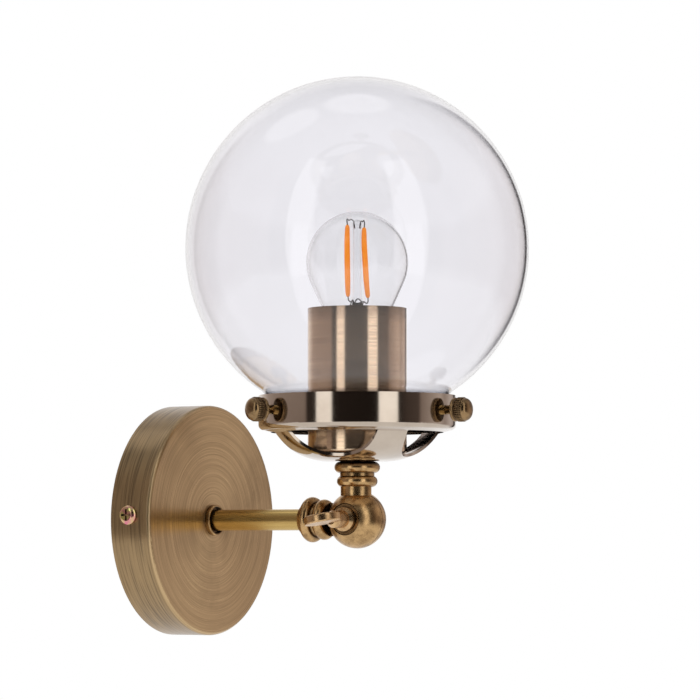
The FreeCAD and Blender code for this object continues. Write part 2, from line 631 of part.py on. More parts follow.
# Thumb key: a cast key with a flat oval paddle, and the stud that draws the half balls together.
def make_key():
    hub = turned("key_hub", [
        ("0", "0"),
        ("hub_collar_radius", "0"),
        ("hub_collar_radius", "hub_collar_height"),
        ("hub_radius", "hub_collar_height + hub_shoulder"),
        ("hub_radius", "hub_length - hub_shoulder"),
        ("hub_radius - hub_taper", "hub_length + hub_nose"),
        ("0", "hub_length + hub_nose"),
    ])
    place(hub, ("-key_seat", "-arm_reach", "0"), TO_LEFT)
    paddle = turned("key_paddle", [
        ("0", "-paddle_thickness / 2"),
        ("paddle_radius - paddle_edge", "-paddle_thickness / 2", "paddle_edge"),
        ("paddle_radius", "-paddle_thickness / 2 + paddle_edge"),
        ("paddle_radius", "paddle_thickness / 2 - paddle_edge", "paddle_edge"),
        ("paddle_radius - paddle_edge", "paddle_thickness / 2"),
        ("0", "paddle_thickness / 2"),
    ])
    tilt = FreeCAD.Rotation(FreeCAD.Vector(1, 0, 0), -number("paddle_tilt"))
    place(paddle, ("-paddle_middle", "-arm_reach", "0"), tilt)
    stud = cylinder("key_stud", "stud_radius", "key_seat + stud_end",
                    ("-key_seat", "-arm_reach", "0"), TO_RIGHT)
    return joined("thumb_key", hub, paddle), stud


# Gallery: one pressed and spun piece, an upright ring on a shallow pierced bowl.
def make_gallery():
    bowl = turned("gallery_bowl", [
        ("nipple_radius + slip_gap", "neck_top"),
        ("seat_radius", "neck_top", "bowl_round"),
        ("flange_radius", "ring_bottom - flange_drop"),
        ("ring_radius - ring_corner", "ring_bottom", "ring_corner"),
        ("ring_radius", "ring_bottom + ring_corner"),
        ("ring_radius", "ring_top"),
        ("ring_radius - gallery_wall", "ring_top"),
        ("ring_radius - gallery_wall", "ring_bottom + ring_corner", "-(ring_corner - gallery_wall)"),
        ("ring_radius - ring_corner", "ring_bottom + gallery_wall"),
        ("seat_radius + bowl_run * bowl_share",
         "neck_top + bowl_round - (bowl_round - bowl_height) * bowl_share",
         "-(bowl_round - gallery_wall)"),
        ("seat_radius", "neck_top + gallery_wall"),
        ("nipple_radius + slip_gap", "neck_top + gallery_wall"),
    ])
    height = "ring_bottom - neck_top + 2 * gallery_wall"
    cuts = []
    for bearing in around("window_angle", "window_count"):
        reach = cylinder("window_reach", "window_top_radius", height, ("0", "0", "neck_top"))
        foot = cylinder("window_foot", "window_round", height,
                        ("window_foot_radius + window_round", "0", "neck_top"))
        cuts.append(swing(common("gallery_window", reach, foot), bearing))
    for bearing in around("thumb_angle", "thumb_count"):
        hole = cylinder("thumb_hole", "thumb_shank_radius + thread_gap", "ring_radius + gallery_wall")
        cuts.append(swing(hole, bearing, ("0", "0", "thumb_height"), TO_RIGHT))
    return place(cut("gallery", bowl, *cuts), LAMP_AXIS)


def make_thumbscrew(index, bearing):
    name = f"thumbscrew_{index}"
    start = "thumb_head_start"
    waist = "thumb_head_radius - thumb_groove_depth"
    face = f"{start} + thumb_head_length"
    end_radius = "(thumb_head_radius - thumb_edge)"
    head = turned(name + "_head", [
        ("0", start),
        ("thumb_head_radius - thumb_edge", start),
        ("thumb_head_radius", f"{start} + thumb_edge"),
        ("thumb_head_radius", f"{start} + thumb_bead_length - thumb_edge"),
        (waist, f"{start} + thumb_bead_length"),
        (waist, f"{start} + thumb_bead_length + thumb_edge"),
        ("thumb_head_radius", f"{start} + thumb_bead_length + 2 * thumb_edge"),
        ("thumb_head_radius", f"{face} - thumb_edge"),
        (end_radius, face, f"({end_radius} ^ 2 + thumb_dome ^ 2) / (2 * thumb_dome)"),
        ("0", f"{face} + thumb_dome"),
    ])
    shank = cylinder(name + "_shank", "thumb_shank_radius", "thumb_head_start + thumb_edge - thumb_tip",
                     ("0", "0", "thumb_tip"))
    return swing(joined(name, head, shank), bearing, ("0", "-arm_reach", "thumb_height"), TO_RIGHT)


# Lamp stem: the gallery, a spacer and the socket cup are stacked on one nipple under a nut.
def make_cup_and_stack():
    cup = turned("socket_cup", [
        ("nipple_radius + slip_gap", "cup_bottom"),
        ("cup_radius - cup_edge_radius", "cup_bottom", "cup_edge_radius"),
        ("cup_radius", "cup_bottom + cup_edge_radius"),
        ("cup_radius", "cup_top"),
        ("cup_radius - cup_wall", "cup_top"),
        ("cup_radius - cup_wall", "cup_bottom + cup_edge_radius", "-(cup_edge_radius - cup_wall)"),
        ("cup_radius - cup_edge_radius", "cup_floor"),
        ("nipple_radius + slip_gap", "cup_floor"),
    ])
    place(cup, LAMP_AXIS)
    bore = "nipple_radius + slip_gap"
    spacer = ring("cup_spacer", "spacer_radius", bore, "spacer_thickness", "neck_top + gallery_wall")
    washer = ring("cup_washer", "flat_washer_radius", bore, "flat_washer_thickness", "cup_floor")
    nut = hex_nut("nipple_nut", ("0", "-arm_reach", "cup_floor + flat_washer_thickness"), UPRIGHT)
    nipple = ring("nipple", "nipple_radius", "nipple_bore", "holder_seat + nipple_tail - nipple_start",
                  "nipple_start")
    return [cup, spacer, washer, nut, nipple]


def ring(name, radius, bore, height, base):
    """A plain round ring or tube on the lamp's axis."""
    solid = cut(name, cylinder(name + "_outside", radius, height), cylinder(name + "_inside", bore, height))
    return place(solid, ("0", "-arm_reach", base))


# Lampholder: an insulating body with the screw shell and the centre contact's spring.
def make_lampholder():
    body = turned("lampholder", [
        ("0", "holder_seat + nipple_tail + slip_gap"),
        ("nipple_radius + thread_gap", "holder_seat + nipple_tail + slip_gap"),
        ("nipple_radius + thread_gap", "holder_seat"),
        ("holder_radius - holder_foot_bevel", "holder_seat"),
        ("holder_radius", "holder_seat + holder_foot_bevel"),
        ("holder_radius", "holder_top - holder_rim_bevel"),
        ("holder_radius - holder_rim_bevel", "holder_top"),
        ("holder_bore", "holder_top"),
        ("holder_bore", "holder_floor"),
        ("0", "holder_floor"),
    ])
    place(body, LAMP_AXIS)
    shell = ring("screw_shell", "shell_radius", "shell_radius - shell_wall", "shell_top - holder_floor",
                 "holder_floor")
    top = "bulb_tip - body_gap"
    spring = extruded("centre_contact", [
        ("-spring_reach", "holder_floor"),
        ("-spring_reach / 3", "holder_floor"),
        ("spring_reach / 4", f"{top} - spring_thickness"),
        ("spring_reach * spring_toe_share", f"{top} - spring_thickness"),
        ("spring_reach * spring_toe_share", top),
        ("spring_reach / 4 - spring_thickness", top),
        ("-spring_reach / 3 - spring_thickness", "holder_floor + spring_thickness"),
        ("-spring_reach", "holder_floor + spring_thickness"),
    ], "spring_width")
    place(spring, LAMP_AXIS)
    return [body, shell, spring]


# Bulb: a small clear globe lamp with a screw cap and two upright filaments.
def make_bulb():
    glass = turned("bulb_glass", [
        ("bulb_foot_radius", "bulb_foot"),
        ("bulb_foot_radius", "bulb_base"),
        ("bulb_radius * cos(bulb_neck_angle)", "bulb_height - bulb_radius * sin(bulb_neck_angle)",
         "bulb_radius"),
        ("0", "bulb_height + bulb_radius"),
        ("0", "bulb_height + bulb_inside", "-bulb_inside"),
        ("bulb_inside * cos(bulb_neck_angle)", "bulb_height - bulb_inside * sin(bulb_neck_angle)"),
        ("stem_foot_radius", "bulb_base"),
        ("stem_foot_radius", "bulb_foot"),
    ])
    place(glass, LAMP_AXIS)
    cap_bottom = "(bulb_base - cap_length)"
    cap = ring("bulb_cap", "cap_radius", "cap_radius - cap_wall", "cap_length", cap_bottom)
    insulator = cone("bulb_insulator", "tip_radius + insulator_rim", "cap_radius", "insulator_height",
                     ("0", "-arm_reach", f"{cap_bottom} - insulator_height"))
    contact = cylinder("bulb_contact", "tip_radius", "tip_height", ("0", "-arm_reach", "bulb_tip"))
    stem = turned("bulb_stem", [
        ("0", "bulb_foot"),
        ("stem_foot_radius", "bulb_foot"),
        ("stem_foot_radius", "bulb_foot + stem_rim"),
        ("2 * stem_radius", "bulb_foot + stem_flare_height"),
        ("stem_radius", "bulb_foot + 2 * stem_flare_height"),
        ("stem_radius", "stem_top"),
        ("0", "stem_top + stem_radius / 2"),
    ])
    place(stem, LAMP_AXIS)
    return [glass, cap, insulator, contact, stem] + make_filaments()


def make_filaments():
    along_x = "cos(filament_bearing)"
    along_y = "sin(filament_bearing)"
    filaments = []
    wires = []
    for name, side in (("right", 1), ("left", -1)):
        foot = f"({side} * filament_offset)"
        head = f"({side} * filament_offset - filament_lean)"
        low = (f"{foot} * {along_x}", f"-arm_reach + {foot} * {along_y}", "filament_foot")
        high = (f"{head} * {along_x}", f"-arm_reach + {head} * {along_y}", "filament_foot + filament_length")
        filaments.append(rod(name + "_filament", "filament_radius", low, high))
        pinch = f"{side} * stem_radius * 0.6"
        stem_low = (f"{pinch} * {along_x}", f"-arm_reach + {pinch} * {along_y}",
                    "bulb_foot + 1.6 * stem_flare_height")
        stem_high = (f"{pinch} * {along_x}", f"-arm_reach + {pinch} * {along_y}", "stem_top")
        wires.append(rod(name + "_low_wire", "wire_radius", stem_low, low))
        wires.append(rod(name + "_high_wire", "wire_radius", stem_high, high))
    return [group("bulb_filaments", *filaments), group("bulb_wires", *wires)]


# Globe: clear blown glass with a straight neck, cut square, standing in the gallery's ring.
def make_globe():
    globe = turned("globe", [
        ("globe_neck_radius", "globe_foot"),
        ("globe_neck_radius", "globe_neck_top", "globe_radius"),
        ("0", "globe_height + globe_radius"),
        ("0", "globe_height + globe_inside", "-globe_inside"),
        ("globe_bore", "globe_height - sqrt(globe_inside ^ 2 - globe_bore ^ 2)"),
        ("globe_bore", "globe_foot"),
    ])
    return place(globe, LAMP_AXIS)


def main():
    parts = [make_bracket(), make_plate(), make_side_screws(), make_earth_screw()]
    parts += make_terminal_block()
    parts += make_arm()
    parts += [make_arm_half(), make_neck_half()]
    parts += make_swivel_small_parts()
    parts += make_key()
    parts.append(make_gallery())
    parts += [make_thumbscrew(index, bearing)
              for index, bearing in enumerate(around("thumb_angle", "thumb_count"), start=1)]
    parts += make_cup_and_stack()
    parts += make_lampholder()
    parts += make_bulb()
    parts.append(make_globe())
    doc.recompute()
    failed = [item.Name for item in doc.Objects if {"Invalid", "Error"} & set(item.State)]
    failed += [part.Name for part in parts if part.Shape.isNull() or not part.Shape.isValid()]
    if failed:
        raise RuntimeError("failed: " + ", ".join(failed))
    os.makedirs("parts", exist_ok=True)
    for part in parts:
        part.Shape.exportStep(f"parts/{part.Label}.step")
        print(f"{part.Label}: {len(part.Shape.Solids)} solid(s), {part.Shape.Volume / 1000:.3f} cm3")


main()
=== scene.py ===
import math

import bmesh
import bpy
from mathutils import Matrix, Vector


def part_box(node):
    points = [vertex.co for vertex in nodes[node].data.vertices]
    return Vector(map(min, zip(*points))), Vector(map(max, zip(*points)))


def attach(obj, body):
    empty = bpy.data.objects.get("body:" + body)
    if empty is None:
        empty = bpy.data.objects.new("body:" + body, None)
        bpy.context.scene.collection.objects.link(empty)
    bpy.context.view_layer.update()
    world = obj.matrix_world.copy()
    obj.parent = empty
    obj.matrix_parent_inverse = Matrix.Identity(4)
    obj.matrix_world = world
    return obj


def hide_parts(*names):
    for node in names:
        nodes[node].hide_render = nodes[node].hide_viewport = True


# Globe wall sconce in a white studio. Sizes are in metres, or in millimetres where a comment says so. They
# are in the CAD frame: +Z is up, the wall is the plane Y = 0 and the lamp stands out towards -Y.

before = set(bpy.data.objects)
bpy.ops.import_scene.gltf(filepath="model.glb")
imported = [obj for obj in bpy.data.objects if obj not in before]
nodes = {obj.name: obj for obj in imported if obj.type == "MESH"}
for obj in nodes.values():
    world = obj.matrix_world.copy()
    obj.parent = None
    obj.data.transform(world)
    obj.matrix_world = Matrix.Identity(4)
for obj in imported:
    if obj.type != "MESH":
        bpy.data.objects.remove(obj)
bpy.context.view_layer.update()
MM = 0.001


def middle(node):
    """The middle of a CAD node's box."""
    low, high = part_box(node)
    return (Vector(low) + Vector(high)) / 2


LAMP_Y = middle("cup_spacer").y
BALL = Vector((0, LAMP_Y, 0))
PLATE_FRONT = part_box("wall_plate")[0][1]

# Camera: fitted to the outlines of the plate, the arm and the globe in the photograph.
CAMERA_AZIMUTH = math.radians(-59.36)
CAMERA_DISTANCE = 1.5
CAMERA_HEIGHT = -0.0143
AIM_HEIGHT = 0.0738
AIM_YAW = math.radians(0.12)
FOCAL_PIXELS = 3446
IMAGE_PIXELS = 700
SENSOR_MM = 36
TO_CAMERA = Vector((math.sin(CAMERA_AZIMUTH), -math.cos(CAMERA_AZIMUTH), 0))
TO_RIGHT = Vector((math.cos(CAMERA_AZIMUTH), math.sin(CAMERA_AZIMUTH), 0))
UP = Vector((0, 0, 1))


def make_camera():
    data = bpy.data.cameras.new("camera")
    data.sensor_width = SENSOR_MM
    data.lens = FOCAL_PIXELS / IMAGE_PIXELS * SENSOR_MM
    camera = bpy.data.objects.new("camera", data)
    bpy.context.scene.collection.objects.link(camera)
    camera.location = BALL + TO_CAMERA * CAMERA_DISTANCE + UP * CAMERA_HEIGHT
    aim = BALL + UP * AIM_HEIGHT - camera.location
    aim.rotate(Matrix.Rotation(AIM_YAW, 3, "Z"))
    camera.rotation_euler = aim.to_track_quat("-Z", "Y").to_euler()
    bpy.context.scene.camera = camera


def around_lamp(azimuth, distance, height):
    """A point round the lamp, by its azimuth from the camera's own side of the lamp."""
    angle = CAMERA_AZIMUTH + math.radians(azimuth)
    return BALL + Vector((math.sin(angle) * distance, -math.cos(angle) * distance, height))


def face(obj, target):
    obj.rotation_euler = (target - obj.location).to_track_quat("-Z", "Y").to_euler()


class Tree:
    """A small helper that builds a node tree."""

    def __init__(self, tree):
        self.nodes = tree.nodes
        self.links = tree.links

    def add(self, kind, **settings):
        node = self.nodes.new(kind)
        for key, value in settings.items():
            setattr(node, key, value)
        return node

    def feed(self, socket, value):
        """Link a socket to another one, or set it to a number, a colour or a vector."""
        if isinstance(value, bpy.types.NodeSocket):
            self.links.new(value, socket)
        elif isinstance(value, tuple) and len(socket.default_value) > len(value):
            socket.default_value = (*value, 1)
        elif value is not None:
            socket.default_value = value

    def math(self, operation, first, second=None):
        node = self.add("ShaderNodeMath", operation=operation)
        self.feed(node.inputs[0], first)
        self.feed(node.inputs[1], second)
        return node.outputs[0]

    def vector(self, operation, first, second):
        node = self.add("ShaderNodeVectorMath", operation=operation)
        self.feed(node.inputs[0], first)
        self.feed(node.inputs[1], second)
        return node.outputs["Value" if operation == "DOT_PRODUCT" else "Vector"]

    def split(self, vector):
        node = self.add("ShaderNodeSeparateXYZ")
        self.feed(node.inputs[0], vector)
        return node.outputs[0], node.outputs[1], node.outputs[2]

    def join(self, first, second, third):
        node = self.add("ShaderNodeCombineXYZ")
        for socket, value in zip(node.inputs, (first, second, third)):
            self.feed(socket, value)
        return node.outputs[0]

    def noise(self, vector, scale, detail, roughness, distortion=0):
        node = self.add("ShaderNodeTexNoise")
        self.feed(node.inputs["Vector"], vector)
        node.inputs["Scale"].default_value = scale
        node.inputs["Detail"].default_value = detail
        node.inputs["Roughness"].default_value = roughness
        node.inputs["Distortion"].default_value = distortion
        return node.outputs["Fac"]

    def band(self, value, low, high, to_low=0, to_high=1, curve="LINEAR"):
        """From to_low where value is at low or beyond, to to_high where it is at high or beyond."""
        node = self.add("ShaderNodeMapRange", interpolation_type=curve)
        self.feed(node.inputs["Value"], value)
        for key, number in (("From Min", low), ("From Max", high), ("To Min", to_low), ("To Max", to_high)):
            node.inputs[key].default_value = number
        return node.outputs[0]

    def blend(self, factor, first, second):
        """The first colour where factor is 0, and the second where it is 1."""
        node = self.add("ShaderNodeMix", data_type="RGBA")
        self.feed(node.inputs["Factor"], factor)
        colors = [socket for socket in node.inputs if socket.type == "RGBA"]
        self.feed(colors[0], first)
        self.feed(colors[1], second)
        return [socket for socket in node.outputs if socket.type == "RGBA"][0]

    def choose(self, factor, first, second):
        """The first shader where factor is 0, and the second where it is 1."""
        node = self.add("ShaderNodeMixShader")
        for socket, value in zip(node.inputs, (factor, first, second)):
            self.feed(socket, value)
        return node.outputs[0]


# Studio seen in reflections. Azimuths are in degrees from the camera's side of the lamp, and elevations are
# given as sines. First the room round the lamp, as (azimuth, level):
HORIZON = [
    (-180, 0.95), (-152, 0.93), (-140, 0.72), (-126, 0.44), (-112, 0.36), (-92, 0.32), (-63, 0.29),
    (-60, 0.035), (-20, 0.018), (22, 0.014), (52, 0.035), (60, 0.07), (76, 0.09), (80, 0.28), (104, 0.52),
    (112, 0.60), (122, 0.40), (138, 0.58), (148, 0.46), (153, 0.04), (159, 0.03), (162, 0.95), (180, 0.95),
]
# How far green and blue fall behind red where the room is dark.
DIM_GREEN = 0.26
DIM_BLUE = 0.36
# Elevations where the floor's level begins and where it is full, and the same for the ceiling.
FLOOR_BAND = (-0.16, -0.42)
FLOOR_LEVEL = 1.0
SKY_BAND = (0.45, 0.85)
SKY_LEVEL = 0.40
# Two tall soft boxes beside the camera: left and right edge, in degrees.
STRIPS = [(-48.5, -29.5), (25.0, 48.0)]
STRIP_SOFTNESS = 0.5
STRIP_FOOT = -0.574
STRIP_TOP = 0.809
STRIP_END = 0.01
STRIP_LEVEL = 1.35
# Two small ones overhead, as directions to the right, up and to the camera, and the cosines of their edge.
OVERHEAD = [(-0.444, 0.862, -0.241), (0.0, 0.946, -0.325)]
OVERHEAD_EDGE = (0.972, 0.985)
OVERHEAD_LEVEL = 0.9
# What lights surfaces that are neither metal nor glass.
AMBIENT = 0.5


def grey(level):
    return level, level, level


def azimuth_ramp(tree, turn, levels, warm):
    """Levels by azimuth, in a warm tone where they are dark if warm is 1."""
    node = tree.add("ShaderNodeValToRGB")
    stops = node.color_ramp.elements
    while len(stops) < len(levels):
        stops.new(1)
    for stop, (azimuth, level) in zip(stops, levels):
        stop.position = (azimuth + 180) / 360
        dim = warm * (1 - level)
        stop.color = (level, level * (1 - DIM_GREEN * dim), level * (1 - DIM_BLUE * dim), 1)
    tree.feed(node.inputs[0], turn)
    return node.outputs[0]


def studio_color(tree):
    """The studio by direction: a room with a floor and a ceiling, and the soft boxes in it."""
    direction = tree.add("ShaderNodeTexCoord").outputs["Generated"]
    height = tree.vector("DOT_PRODUCT", direction, UP)
    across = tree.vector("DOT_PRODUCT", direction, TO_RIGHT)
    near = tree.vector("DOT_PRODUCT", direction, TO_CAMERA)
    turn = tree.band(tree.math("ARCTAN2", across, near), -math.pi, math.pi)
    color = azimuth_ramp(tree, turn, HORIZON, 1)
    color = tree.blend(tree.band(height, *FLOOR_BAND, curve="SMOOTHSTEP"), color, grey(FLOOR_LEVEL))
    color = tree.blend(tree.band(height, *SKY_BAND, curve="SMOOTHSTEP"), color, grey(SKY_LEVEL))
    edges = [(-180, 0)]
    for low, high in STRIPS:
        edges += [(low - STRIP_SOFTNESS, 0), (low + STRIP_SOFTNESS, 1)]
        edges += [(high - STRIP_SOFTNESS, 1), (high + STRIP_SOFTNESS, 0)]
    above = tree.band(height, STRIP_FOOT - STRIP_END, STRIP_FOOT + STRIP_END, curve="SMOOTHSTEP")
    below = tree.band(height, STRIP_TOP + STRIP_END, STRIP_TOP - STRIP_END, curve="SMOOTHSTEP")
    strips = tree.math("MULTIPLY", azimuth_ramp(tree, turn, edges, 0), tree.math("MULTIPLY", above, below))
    color = tree.blend(strips, color, grey(STRIP_LEVEL))
    for right, rise, back in OVERHEAD:
        box = tree.vector("DOT_PRODUCT", direction, TO_RIGHT * right + UP * rise + TO_CAMERA * back)
        color = tree.blend(tree.band(box, *OVERHEAD_EDGE, curve="SMOOTHSTEP"), color, grey(OVERHEAD_LEVEL))
    return color


def make_world():
    """White to the camera and through glass, a studio in reflections, and a plain level elsewhere."""
    world = bpy.data.worlds.new("studio")
    bpy.context.scene.world = world
    world.use_nodes = True
    tree = Tree(world.node_tree)

    def background(node, color, strength):
        tree.feed(node.inputs["Color"], color)
        tree.feed(node.inputs["Strength"], strength)
        return node.outputs[0]

    plain = background(tree.nodes["Background"], grey(1), AMBIENT)
    white = background(tree.add("ShaderNodeBackground"), grey(1), 1)
    studio = background(tree.add("ShaderNodeBackground"), studio_color(tree), 1)
    # A ray that was mirrored anywhere, also inside the glass, sees the studio, and one that only went through
    # glass sees white. A refracted ray counts as glossy too, so the order of these four matters.
    path = tree.add("ShaderNodeLightPath").outputs
    mirrored = tree.math("MINIMUM", path["Glossy Depth"], 1)
    shown = tree.choose(path["Is Glossy Ray"], plain, studio)
    shown = tree.choose(path["Is Transmission Ray"], shown, white)
    shown = tree.choose(mirrored, shown, studio)
    shown = tree.choose(path["Is Camera Ray"], shown, white)
    tree.feed(tree.nodes["World Output"].inputs["Surface"], shown)


# Soft boxes for what isn't metal or glass: two tall ones beside the camera and two overhead.
LIGHTS = [
    # name, azimuth from the camera, distance, height, width, tall, brightness
    ("strip_left", -38.7, 1.0, 0.46, 0.33, 2.1, 1.35),
    ("strip_right", 36.3, 1.0, 0.40, 0.41, 2.1, 1.35),
    ("top_left", 241, 0.42, 1.0, 0.35, 0.35, 1.2),
    ("top_back", 180, 0.30, 1.1, 0.32, 0.42, 1.2),
]
TARGET = BALL + UP * 0.08


def make_lights():
    for name, azimuth, distance, height, width, tall, brightness in LIGHTS:
        data = bpy.data.lights.new(name, "AREA")
        data.shape = "RECTANGLE"
        data.size = width
        data.size_y = tall
        data.energy = brightness * math.pi * width * tall
        light = bpy.data.objects.new(name, data)
        bpy.context.scene.collection.objects.link(light)
        light.location = around_lamp(azimuth, distance, height)
        overhead = abs(azimuth) > 90
        face(light, TARGET if overhead else BALL + UP * height)
        light.visible_camera = False
        light.visible_glossy = False
        light.visible_transmission = False


FLOOR_DEPTH = -1.6
FLOOR_SIZE = 9.0


def make_floor(material):
    mesh = bpy.data.meshes.new("floor")
    half = FLOOR_SIZE / 2
    corners = [(-half, -half, 0), (half, -half, 0), (half, half, 0), (-half, half, 0)]
    mesh.from_pydata(corners, [], [(0, 1, 2, 3)])
    mesh.materials.append(material)
    floor = bpy.data.objects.new("floor", mesh)
    floor.location = (0, LAMP_Y, FLOOR_DEPTH)
    bpy.context.scene.collection.objects.link(floor)


def add_piece(name, mesh, material, body, replaced):
    """A smooth piece that rides on a body and stands for one CAD node."""
    piece = bpy.data.objects.new(name, mesh)
    mesh.materials.append(material)
    for polygon in mesh.polygons:
        polygon.use_smooth = True
    bpy.context.scene.collection.objects.link(piece)
    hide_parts(replaced)
    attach(piece, body)
    return piece


def sweep(across, up, radius, start, end, steps):
    """Points of an arc in a lathe profile, by angle in degrees from the outward direction."""
    points = []
    for step in range(steps + 1):
        angle = math.radians(start + (end - start) * step / steps)
        points.append((across + radius * math.cos(angle), up + radius * math.sin(angle)))
    return points


def lathe(name, profile, place, segments, closed=False, teeth=0):
    """Turn a profile of (radius, height[, tooth depth]) points in millimetres round its axis.

    Two neighbouring points on the axis aren't joined. A closed profile's last point is joined to its first.
    """
    mesh = bpy.data.meshes.new(name)
    shape = bmesh.new()
    rings = []
    for radius, height, *depth in profile:
        if radius == 0:
            rings.append([shape.verts.new(place @ Vector((0, 0, height * MM)))])
            continue
        ring = []
        for index in range(segments):
            angle = math.tau * index / segments
            reach = radius
            if depth:
                reach -= depth[0] * (0.5 - 0.5 * math.cos(teeth * angle)) ** 2
            point = Vector((reach * math.cos(angle), reach * math.sin(angle), height)) * MM
            ring.append(shape.verts.new(place @ point))
        rings.append(ring)
    pairs = list(zip(rings, rings[1:]))
    if closed:
        pairs.append((rings[-1], rings[0]))
    for low, high in pairs:
        if len(low) == 1 and len(high) == 1:
            continue
        for index in range(segments):
            after = (index + 1) % segments
            corners = [low[index % len(low)], low[after % len(low)]]
            corners += [high[after % len(high)], high[index % len(high)]]
            corners = [corner for at, corner in enumerate(corners) if corner not in corners[:at]]
            shape.faces.new(corners)
    bmesh.ops.recalc_face_normals(shape, faces=shape.faces)
    shape.to_mesh(mesh)
    shape.free()
    return mesh


# Thumbscrews, in millimetres from the lamp's axis: the shank's tip and the head's inner face.
SHANK_TIP = 40.1
HEAD_START = 46.72
SHANK_RADIUS = 1.95
TIP_CHAMFER = 0.35
# The head's back and waist, as radius and height over its inner face.
HEAD_BACK = [(4.3, 0), (4.75, 0.1)]
HEAD_WAIST = [(4.55, 1.5), (4.5, 1.75), (4.6, 1.95)]
# The rounded collar between them, as radius and height of the round's middle, and its own radius.
COLLAR = (4.55, 0.75, 0.65)
COLLAR_TURNS = (0.6, 1.0, 1.57, 2.1, 2.6)
# The knurled grip, as radius, height and depth of a tooth.
GRIP = [
    (4.95, 2.15, 0.1), (5.3, 2.4, 0.7), (5.3, 3.2, 0.8), (5.3, 4.2, 0.8), (5.3, 5.1, 0.7),
    (4.98, 5.4, 0.12),
]
GRIP_TEETH = 36
# The dome's foot, and then its radius, the height where it starts, and its rise.
DOME_FOOT = (4.9, 5.6)
DOME = (4.85, 5.65, 2.7)
DOME_STEPS = 10


def thumbscrew_profile():
    """A thumbscrew's outline, from the tip of its shank to the top of its dome."""
    tip = SHANK_TIP - HEAD_START
    profile = [(0, tip), (SHANK_RADIUS - TIP_CHAMFER, tip), (SHANK_RADIUS, tip + TIP_CHAMFER)]
    profile += [(SHANK_RADIUS, -0.1)] + HEAD_BACK
    across, up, radius = COLLAR
    profile += [(across + radius * math.sin(turn), up - radius * math.cos(turn)) for turn in COLLAR_TURNS]
    profile += HEAD_WAIST + GRIP + [DOME_FOOT]
    across, up, rise = DOME
    for step in range(1, DOME_STEPS):
        turn = math.radians(90) * step / DOME_STEPS
        profile.append((across * math.cos(turn), up + rise * math.sin(turn)))
    return profile + [(0, up + rise)]


def make_thumbscrews(metal, shank_metal, back_shade_metal):
    """Three thumbscrews with knurled, domed heads, another finish on the shanks, and painted shade on the
    heads' backs.
    """
    for node, body in (
        ("thumbscrew_1", "thumbscrew_right"),
        ("thumbscrew_2", "thumbscrew_left"),
        ("thumbscrew_3", "thumbscrew_front"),
    ):
        centre = middle(node)
        bearing = math.atan2(centre.y - LAMP_Y, centre.x)
        place = (Matrix.Translation((0, LAMP_Y, centre.z)) @ Matrix.Rotation(bearing, 4, "Z")
                 @ Matrix.Rotation(math.radians(90), 4, "Y") @ Matrix.Translation((0, 0, HEAD_START * MM)))
        name = node + "_knurled"
        mesh = lathe(name, thumbscrew_profile(), place, segments=GRIP_TEETH * 5, teeth=GRIP_TEETH)
        add_piece(name, mesh, metal, body, node)
        mesh.materials.append(shank_metal)
        mesh.materials.append(back_shade_metal)
        back = place.inverted()
        for polygon in mesh.polygons:
            spot = back @ polygon.center
            if math.hypot(spot.x, spot.y) < (SHANK_RADIUS + 0.15) * MM and spot.z < 0:
                polygon.material_index = 1
            # Painted shade: the back of each head takes a near-black brass.
            elif spot.z < 0.3 * MM:
                polygon.material_index = 2


TUBE_STEPS = 6
TUBE_SIDES = 14


def tube(path, radii):
    """A round rod along points in metres, smoothed, with a radius in millimetres at each point."""
    points = []
    sizes = []
    last = len(path) - 1
    for index in range(last):
        start, end = path[index], path[index + 1]
        before, after = path[max(index - 1, 0)], path[min(index + 2, last)]
        for step in range(TUBE_STEPS):
            t = step / TUBE_STEPS
            bend = (2 * before - 5 * start + 4 * end - after) * t ** 2
            bend += (3 * start - before - 3 * end + after) * t ** 3
            points.append(0.5 * (2 * start + (end - before) * t + bend))
            sizes.append(radii[index] + (radii[index + 1] - radii[index]) * t)
    points.append(path[-1])
    sizes.append(radii[-1])
    shape = bmesh.new()
    side = (points[1] - points[0]).orthogonal().normalized()
    rings = []
    for index, point in enumerate(points):
        along = (points[min(index + 1, len(points) - 1)] - points[max(index - 1, 0)]).normalized()
        side = (side - along * side.dot(along)).normalized()
        other = along.cross(side)
        ring = []
        for step in range(TUBE_SIDES):
            turn = math.tau * step / TUBE_SIDES
            out = side * math.cos(turn) + other * math.sin(turn)
            ring.append(shape.verts.new(point + out * sizes[index] * MM))
        rings.append(ring)
    for low, high in zip(rings, rings[1:]):
        for index in range(TUBE_SIDES):
            after = (index + 1) % TUBE_SIDES
            shape.faces.new([low[index], low[after], high[after], high[index]])
    shape.faces.new(list(reversed(rings[0])))
    shape.faces.new(rings[-1])
    return shape


def add_tubes(name, tubes, material, replaced):
    """One piece on the bulb from several rods."""
    mesh = bpy.data.meshes.new(name)
    whole = bmesh.new()
    for path, radii in tubes:
        part = tube(path, radii)
        spare = bpy.data.meshes.new("spare")
        part.to_mesh(spare)
        part.free()
        whole.from_mesh(spare)
        bpy.data.meshes.remove(spare)
    bmesh.ops.recalc_face_normals(whole, faces=whole.faces)
    whole.to_mesh(mesh)
    whole.free()
    add_piece(name, mesh, material, "bulb", replaced)


